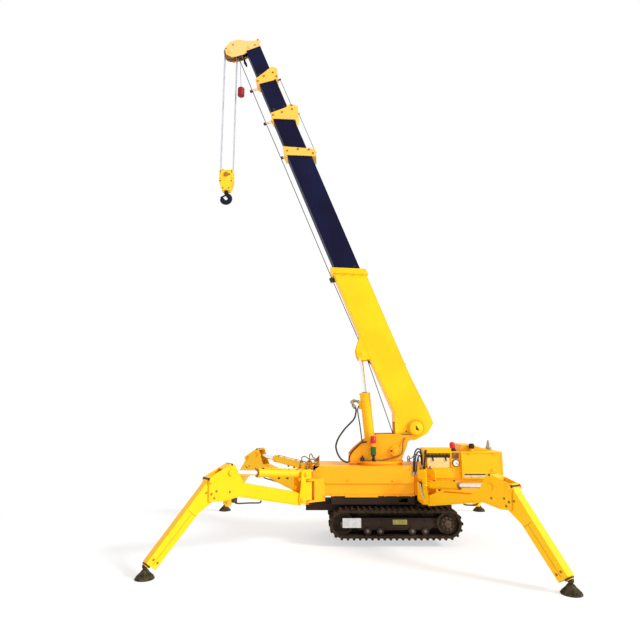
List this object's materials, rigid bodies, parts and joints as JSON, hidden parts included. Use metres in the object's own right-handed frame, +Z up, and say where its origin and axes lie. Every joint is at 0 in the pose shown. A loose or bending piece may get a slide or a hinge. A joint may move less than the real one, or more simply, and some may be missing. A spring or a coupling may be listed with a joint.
{
  "type": "spider crane",
  "caption": "Compact crawler crane on four folding outriggers, with a slewing turret, a telescopic box boom luffed by one cylinder, and a hook on rope falls.",
  "frame": {"origin": "on the floor, midway between the outermost outrigger pads", "axes": "+X forward, the way the boom points, +Y to the machine's left, +Z up"},
  "size_m": [4.3986, 3.8324, 7.0387],
  "materials": {
    "yellow_paint": "gloss chrome yellow paint",
    "navy_paint": "satin blue-black paint",
    "black_paint": "matt brown-black paint, oily",
    "bright_steel": "polished hard chrome",
    "track_rubber": "matt rubber",
    "dark_iron": "dull black",
    "steel_rope": "greased wire rope",
    "black_plastic": "matt",
    "red_lens": "translucent lens",
    "grey_steel": "weathered bare steel"
  },
  "bodies": {
    "chassis": {"undercarriage_frame": "black_paint", "track_left": "track_rubber", "track_right": "track_rubber", "track_gear_left": "black_paint", "track_gear_right": "black_paint", "deck_frame": "yellow_paint", "engine_cover": "yellow_paint", "engine_block": "dark_iron", "console": "yellow_paint", "lever_bank": "black_plastic", "fuel_cap": "black_plastic", "beacon": "red_lens", "exhaust": "grey_steel"},
    "upper": {"slew_ring": "dark_iron", "turret": "yellow_paint", "winch_drum": "dark_iron", "lamp_stack": "red_lens"},
    "luff_barrel": {"luff_barrel": "yellow_paint"},
    "luff_rod": {"luff_rod": "bright_steel"},
    "boom_base": {"boom_base": "yellow_paint"},
    "boom_2": {"boom_section_2": "navy_paint", "boom_collar_2": "yellow_paint"},
    "boom_3": {"boom_section_3": "navy_paint", "boom_collar_3": "yellow_paint"},
    "boom_4": {"boom_section_4": "navy_paint", "boom_collar_4": "yellow_paint"},
    "boom_5": {"boom_section_5": "navy_paint", "boom_head": "yellow_paint", "head_sheaves": "dark_iron"},
    "falls": {"rope_falls": "steel_rope"},
    "block": {"hook_block": "yellow_paint"},
    "hook": {"hook": "dark_iron"},
    "front_left_post": {"front_left_post": "yellow_paint"},
    "front_left_arm": {"front_left_arm": "yellow_paint"},
    "front_left_leg": {"front_left_leg": "yellow_paint", "front_left_foot": "dark_iron"},
    "front_left_barrel": {"front_left_barrel": "yellow_paint"},
    "front_left_rod": {"front_left_rod": "bright_steel"},
    "front_right_post": {"front_right_post": "yellow_paint"},
    "front_right_arm": {"front_right_arm": "yellow_paint"},
    "front_right_leg": {"front_right_leg": "yellow_paint", "front_right_foot": "dark_iron"},
    "front_right_barrel": {"front_right_barrel": "yellow_paint"},
    "front_right_rod": {"front_right_rod": "bright_steel"},
    "rear_left_post": {"rear_left_post": "yellow_paint"},
    "rear_left_arm": {"rear_left_arm": "yellow_paint"},
    "rear_left_leg": {"rear_left_leg": "yellow_paint", "rear_left_foot": "dark_iron"},
    "rear_left_barrel": {"rear_left_barrel": "yellow_paint"},
    "rear_left_rod": {"rear_left_rod": "bright_steel"},
    "rear_right_post": {"rear_right_post": "yellow_paint"},
    "rear_right_arm": {"rear_right_arm": "yellow_paint"},
    "rear_right_leg": {"rear_right_leg": "yellow_paint", "rear_right_foot": "dark_iron"},
    "rear_right_barrel": {"rear_right_barrel": "yellow_paint"},
    "rear_right_rod": {"rear_right_rod": "bright_steel"}
  },
  "joints": [
    {"name": "slew", "type": "hinge", "parent": "chassis", "child": "upper", "pos_m": [-0.34591, -0.10561, 0.918], "axis": [0, 0, 1], "continuous": true},
    {"name": "luff", "type": "hinge", "parent": "upper", "child": "boom_base", "pos_m": [-0.79991, -0.10561, 1.361], "axis": [0, -1, 0], "range_deg": [-42, 10]},
    {"name": "luff_barrel_pivot", "type": "hinge", "parent": "upper", "child": "luff_barrel", "pos_m": [-0.23791, -0.10561, 1.065], "axis": [0, -1, 0], "range_deg": [-38.86, 9.26]},
    {"name": "luff_rod_slide", "type": "slide", "parent": "luff_barrel", "child": "luff_rod", "axis": [0.0963, 0, 0.9954], "range_m": [-0.45458, 0.10831]},
    {"name": "extend_2", "type": "slide", "parent": "boom_base", "child": "boom_2", "axis": [0.373, 0, 0.9278], "range_m": [-1.772, 0.03]},
    {"name": "extend_3", "type": "slide", "parent": "boom_2", "child": "boom_3", "axis": [0.373, 0, 0.9278], "range_m": [-0.43, 1.225]},
    {"name": "extend_4", "type": "slide", "parent": "boom_3", "child": "boom_4", "axis": [0.373, 0, 0.9278], "range_m": [-0.4301, 1.2251]},
    {"name": "extend_5", "type": "slide", "parent": "boom_4", "child": "boom_5", "axis": [0.373, 0, 0.9278], "range_m": [-0.4301, 1.2251]},
    {"name": "falls_hang", "type": "hinge", "parent": "boom_5", "child": "falls", "pos_m": [1.75557, -0.10561, 6.83054], "axis": [0, -1, 0], "range_deg": [-10.01, 42.01]},
    {"name": "hoist", "type": "slide", "parent": "falls", "child": "block", "axis": [0, 0, -1], "range_m": [-1.3, 0], "deforming": ["rope_falls"]},
    {"name": "hook_swivel", "type": "hinge", "parent": "block", "child": "hook", "pos_m": [1.75557, -0.10561, 4.63154], "axis": [0, 0, 1], "continuous": true},
    {"name": "front_left_swing", "type": "hinge", "parent": "chassis", "child": "front_left_post", "pos_m": [0.58509, 0.25439, 0.63], "axis": [0, 0, 1], "range_deg": [-31.6, 22]},
    {"name": "front_left_lift", "type": "hinge", "parent": "front_left_post", "child": "front_left_arm", "pos_m": [0.68016, 0.32761, 0.545], "axis": [-0.6101, 0.7923, 0], "range_deg": [-45, 0]},
    {"name": "front_left_fold", "type": "hinge", "parent": "front_left_arm", "child": "front_left_leg", "pos_m": [1.6111, 1.04453, 0.86], "axis": [-0.6101, 0.7923, 0], "range_deg": [-180, 0]},
    {"name": "front_left_barrel_pivot", "type": "hinge", "parent": "front_left_post", "child": "front_left_barrel", "pos_m": [0.64055, 0.2971, 0.828], "axis": [-0.6101, 0.7923, 0], "range_deg": [-48.61, 0.01]},
    {"name": "front_left_rod_slide", "type": "slide", "parent": "front_left_barrel", "child": "front_left_rod", "axis": [0.7889, 0.6076, 0.0921], "range_m": [-0.20902, 0.0001]},
    {"name": "front_right_swing", "type": "hinge", "parent": "chassis", "child": "front_right_post", "pos_m": [0.58509, -0.46561, 0.63], "axis": [0, 0, -1], "range_deg": [-39, 14.6]},
    {"name": "front_right_lift", "type": "hinge", "parent": "front_right_post", "child": "front_right_arm", "pos_m": [0.66994, -0.55046, 0.545], "axis": [0.7071, 0.7071, 0], "range_deg": [-45, 0]},
    {"name": "front_right_fold", "type": "hinge", "parent": "front_right_arm", "child": "front_right_leg", "pos_m": [1.50079, -1.38131, 0.86], "axis": [0.7071, 0.7071, 0], "range_deg": [-180, 0]},
    {"name": "front_right_barrel_pivot", "type": "hinge", "parent": "front_right_post", "child": "front_right_barrel", "pos_m": [0.63458, -0.5151, 0.828], "axis": [0.7071, 0.7071, 0], "range_deg": [-48.61, 0.01]},
    {"name": "front_right_rod_slide", "type": "slide", "parent": "front_right_barrel", "child": "front_right_rod", "axis": [0.7041, -0.7041, 0.0921], "range_m": [-0.20902, 0.0001]},
    {"name": "rear_left_swing", "type": "hinge", "parent": "chassis", "child": "rear_left_post", "pos_m": [-0.82811, 0.25439, 0.63], "axis": [0, 0, -1], "range_deg": [-44.5, 11.5]},
    {"name": "rear_left_lift", "type": "hinge", "parent": "rear_left_post", "child": "rear_left_arm", "pos_m": [-0.89081, 0.35671, 0.545], "axis": [-0.8526, -0.5225, 0], "range_deg": [-45, 0]},
    {"name": "rear_left_fold", "type": "hinge", "parent": "rear_left_arm", "child": "rear_left_leg", "pos_m": [-1.50832, 1.3644, 0.83326], "axis": [-0.8526, -0.5225, 0], "range_deg": [-180, 0]},
    {"name": "rear_left_barrel_pivot", "type": "hinge", "parent": "rear_left_post", "child": "rear_left_barrel", "pos_m": [-0.8882, 0.35245, 0.705], "axis": [-0.8526, -0.5225, 0], "range_deg": [-48.16, 0.01]},
    {"name": "rear_left_rod_slide", "type": "slide", "parent": "rear_left_barrel", "child": "rear_left_rod", "axis": [-0.5192, 0.8472, 0.1127], "range_m": [-0.11006, 0.0001]},
    {"name": "rear_right_swing", "type": "hinge", "parent": "chassis", "child": "rear_right_post", "pos_m": [-0.82811, -0.46561, 0.63], "axis": [0, 0, 1], "range_deg": [-32, 24]},
    {"name": "rear_right_lift", "type": "hinge", "parent": "rear_right_post", "child": "rear_right_arm", "pos_m": [-0.91147, -0.55193, 0.545], "axis": [0.7193, -0.6947, 0], "range_deg": [-45, 0]},
    {"name": "rear_right_fold", "type": "hinge", "parent": "rear_right_arm", "child": "rear_right_leg", "pos_m": [-1.73245, -1.40207, 0.83326], "axis": [0.7193, -0.6947, 0], "range_deg": [-180, 0]},
    {"name": "rear_right_barrel_pivot", "type": "hinge", "parent": "rear_right_post", "child": "rear_right_barrel", "pos_m": [-0.908, -0.54833, 0.705], "axis": [0.7193, -0.6947, 0], "range_deg": [-48.16, 0.01]},
    {"name": "rear_right_rod_slide", "type": "slide", "parent": "rear_right_barrel", "child": "rear_right_rod", "axis": [-0.6902, -0.7148, 0.1127], "range_m": [-0.11006, 0.0001]}
  ],
  "couplings": [
    {"joint": "luff_barrel_pivot", "follows": "luff", "ratio": 0.925},
    {"joint": "luff_rod_slide", "follows": "luff", "m_per_rad": 0.62},
    {"joint": "extend_4", "follows": "extend_3", "ratio": 1},
    {"joint": "extend_5", "follows": "extend_3", "ratio": 1},
    {"joint": "falls_hang", "follows": "luff", "ratio": -1},
    {"joint": "front_left_barrel_pivot", "follows": "front_left_lift", "ratio": 1.08},
    {"joint": "front_left_rod_slide", "follows": "front_left_lift", "m_per_rad": 0.266},
    {"joint": "front_right_barrel_pivot", "follows": "front_right_lift", "ratio": 1.08},
    {"joint": "front_right_rod_slide", "follows": "front_right_lift", "m_per_rad": 0.266},
    {"joint": "rear_left_barrel_pivot", "follows": "rear_left_lift", "ratio": 1.07},
    {"joint": "rear_left_rod_slide", "follows": "rear_left_lift", "m_per_rad": 0.14},
    {"joint": "rear_right_barrel_pivot", "follows": "rear_right_lift", "ratio": 1.07},
    {"joint": "rear_right_rod_slide", "follows": "rear_right_lift", "m_per_rad": 0.14}
  ]
}
